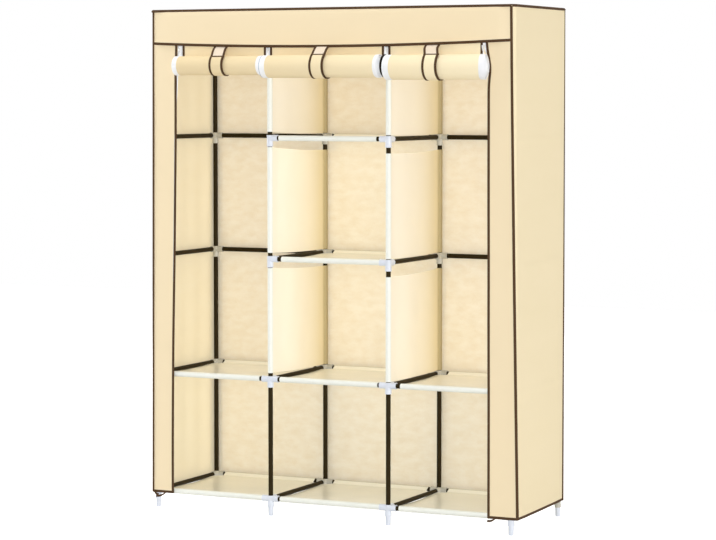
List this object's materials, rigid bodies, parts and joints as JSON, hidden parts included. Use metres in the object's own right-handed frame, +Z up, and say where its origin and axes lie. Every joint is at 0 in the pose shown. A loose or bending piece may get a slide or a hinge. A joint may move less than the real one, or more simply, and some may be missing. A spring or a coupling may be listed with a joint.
{
  "type": "portable fabric wardrobe",
  "caption": "Free-standing fabric wardrobe on a tube frame: side hanging spaces, centre shelves, bottom compartments, and zipped doors rolled up under a valance.",
  "frame": {"origin": "on the floor, under the middle of the whole outline including the rolled doors", "axes": "+Z up, +Y from the front towards the back, +X to the right as seen from the front"},
  "size_m": [1.335, 0.5211, 1.697],
  "materials": {
    "black_tube": "steel tube with a smooth black plastic coat",
    "shelf_cloth": "cream non-woven cloth, pressed smooth, slightly glossy",
    "cover_cloth": "beige non-woven cloth, matt, with brown bound edges",
    "zip_metal": "pale die-cast metal",
    "white_plastic": "white injection-moulded plastic",
    "brown_binding": "brown woven tape",
    "white_sleeve": "near-white non-woven cloth",
    "white_zip": "white nylon zip coil"
  },
  "bodies": {
    "wardrobe": {"front_upright_1": "black_tube", "front_upright_2": "black_tube", "front_upright_3": "black_tube", "front_upright_4": "black_tube", "back_upright_1": "black_tube", "back_upright_2": "black_tube", "back_upright_3": "black_tube", "back_upright_4": "black_tube", "bottom_front_rail": "black_tube", "bottom_back_rail": "black_tube", "bottom_depth_tube_1": "black_tube", "bottom_depth_tube_2": "black_tube", "bottom_depth_tube_3": "black_tube", "bottom_depth_tube_4": "black_tube", "lower_front_rail": "black_tube", "lower_back_rail": "black_tube", "lower_depth_tube_1": "black_tube", "lower_depth_tube_2": "black_tube", "lower_depth_tube_3": "black_tube", "lower_depth_tube_4": "black_tube", "middle_back_rail": "black_tube", "middle_shelf_frame": "black_tube", "middle_depth_tube_left": "black_tube", "middle_depth_tube_right": "black_tube", "upper_back_rail": "black_tube", "upper_shelf_frame": "black_tube", "upper_depth_tube_left": "black_tube", "upper_depth_tube_right": "black_tube", "top_frame": "black_tube", "hanging_rod_left": "black_tube", "hanging_rod_right": "black_tube", "bottom_shelf_left": "shelf_cloth", "bottom_shelf_centre": "shelf_cloth", "bottom_shelf_right": "shelf_cloth", "lower_shelf_left": "shelf_cloth", "lower_shelf_centre": "shelf_cloth", "lower_shelf_right": "shelf_cloth", "middle_shelf_centre": "shelf_cloth", "upper_shelf_centre": "shelf_cloth", "lower_divider_left": "shelf_cloth", "middle_divider_left": "shelf_cloth", "upper_divider_left": "shelf_cloth", "lower_divider_right": "shelf_cloth", "middle_divider_right": "shelf_cloth", "upper_divider_right": "shelf_cloth", "cover": "cover_cloth", "door_sheet_left": "cover_cloth", "door_strap_left": "cover_cloth", "door_sheet_centre": "cover_cloth", "door_strap_centre": "cover_cloth", "door_sheet_right": "cover_cloth", "door_strap_right": "cover_cloth"},
    "rolled_door_left": {"door_roll_left": "cover_cloth"},
    "rolled_door_centre": {"door_roll_centre": "cover_cloth"},
    "rolled_door_right": {"door_roll_right": "cover_cloth"},
    "slider_1": {"zip_slider_1": "zip_metal"},
    "slider_2": {"zip_slider_2": "zip_metal"},
    "slider_3": {"zip_slider_3": "zip_metal"},
    "slider_4": {"zip_slider_4": "zip_metal"}
  },
  "joints": [
    {"name": "door_drop_left", "type": "slide", "parent": "wardrobe", "child": "rolled_door_left", "axis": [0, 0, -1], "range_m": [0, 1.41], "deforming": ["door_sheet_left", "door_strap_left"]},
    {"name": "door_drop_centre", "type": "slide", "parent": "wardrobe", "child": "rolled_door_centre", "axis": [0, 0, -1], "range_m": [0, 1.41], "deforming": ["door_sheet_centre", "door_strap_centre"]},
    {"name": "door_drop_right", "type": "slide", "parent": "wardrobe", "child": "rolled_door_right", "axis": [0, 0, -1], "range_m": [0, 1.41], "deforming": ["door_sheet_right", "door_strap_right"]},
    {"name": "zip_slide_1", "type": "slide", "parent": "wardrobe", "child": "slider_1", "axis": [0, 0, 1], "range_m": [0, 0.1]},
    {"name": "zip_slide_2", "type": "slide", "parent": "wardrobe", "child": "slider_2", "axis": [0, 0, 1], "range_m": [0, 0.1]},
    {"name": "zip_slide_3", "type": "slide", "parent": "wardrobe", "child": "slider_3", "axis": [0, 0, 1], "range_m": [0, 0.1]},
    {"name": "zip_slide_4", "type": "slide", "parent": "wardrobe", "child": "slider_4", "axis": [0, 0, 1], "range_m": [0, 0.1]}
  ]
}
